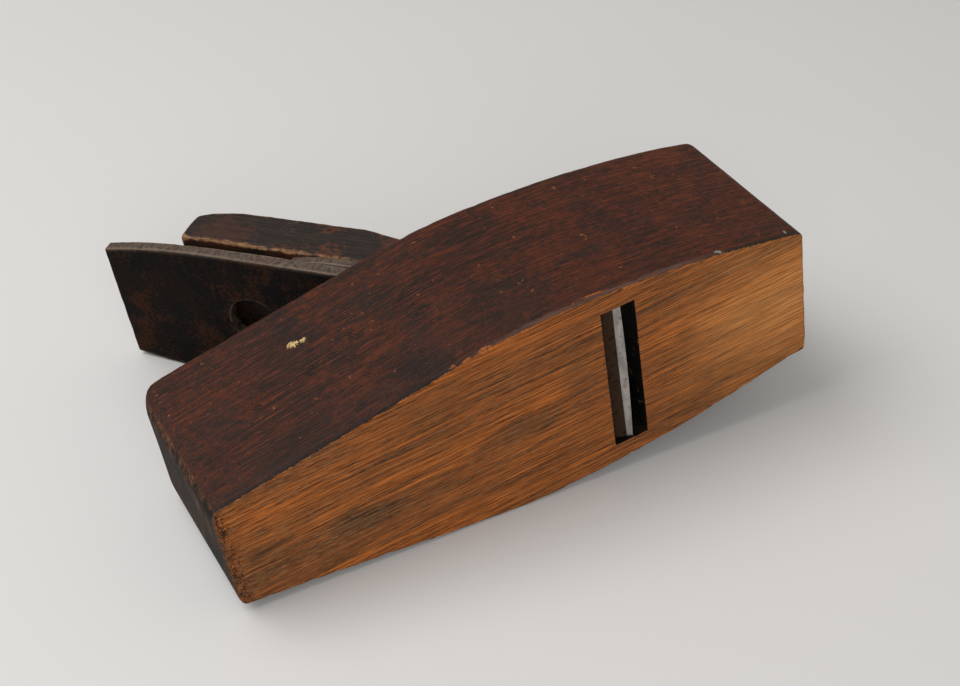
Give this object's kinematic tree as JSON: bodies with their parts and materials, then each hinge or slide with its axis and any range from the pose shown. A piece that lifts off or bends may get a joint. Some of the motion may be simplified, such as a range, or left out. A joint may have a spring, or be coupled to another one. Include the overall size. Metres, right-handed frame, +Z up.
{
  "type": "smoothing plane",
  "caption": "Coffin-shaped wooden smoothing plane lying on its left cheek, with a tapered iron, a cap iron and a forked wooden wedge in an open throat.",
  "frame": {"origin": "centre of the bounding box's bottom, on the surface that the plane lies on", "axes": "the plane lies on its left cheek: +X from heel to toe, level with the surface; +Y from the sole up into the block; +Z up, towards the right cheek. The cheek's taper and the corner of the iron lift the toe by 7 degrees"},
  "size_m": [0.2024, 0.1376, 0.072],
  "materials": {
    "stock_wood": "old beech, oiled and handled to a dark red-brown, lighter and worn on the sole",
    "iron_steel": "near-black brown patina with rust, bright only at the honed edge",
    "cap_steel": "dark brown patina",
    "boss_brass": "tarnished, satin",
    "screw_steel": "dark brown patina, worn slot",
    "wedge_wood": "black-brown beech with rubbed tan edges"
  },
  "bodies": {
    "stock": {"stock": "stock_wood"},
    "cutting_iron": {"cutting_iron": "iron_steel"},
    "cap_iron": {"cap_iron": "cap_steel", "cap_iron_boss": "boss_brass"},
    "cap_iron_screw": {"cap_iron_screw": "screw_steel"},
    "wedge": {"wedge": "wedge_wood"}
  },
  "joints": [
    {"name": "iron_slide", "type": "slide", "parent": "stock", "child": "cutting_iron", "axis": [-0.638, 0.766, -0.0784], "range_m": [-0.001, 0.09]},
    {"name": "cap_iron_slide", "type": "slide", "parent": "cutting_iron", "child": "cap_iron", "axis": [-0.6439, 0.761, -0.0791], "range_m": [0, 0.0615]},
    {"name": "wedge_slide", "type": "slide", "parent": "cap_iron", "child": "wedge", "axis": [-0.6439, 0.761, -0.0791], "range_m": [0, 0.08]},
    {"name": "screw_turn", "type": "hinge", "parent": "cap_iron", "child": "cap_iron_screw", "pos_m": [-0.00851, -0.01833, 0.03319], "axis": [0.7554, 0.6487, 0.0928], "continuous": true}
  ]
}
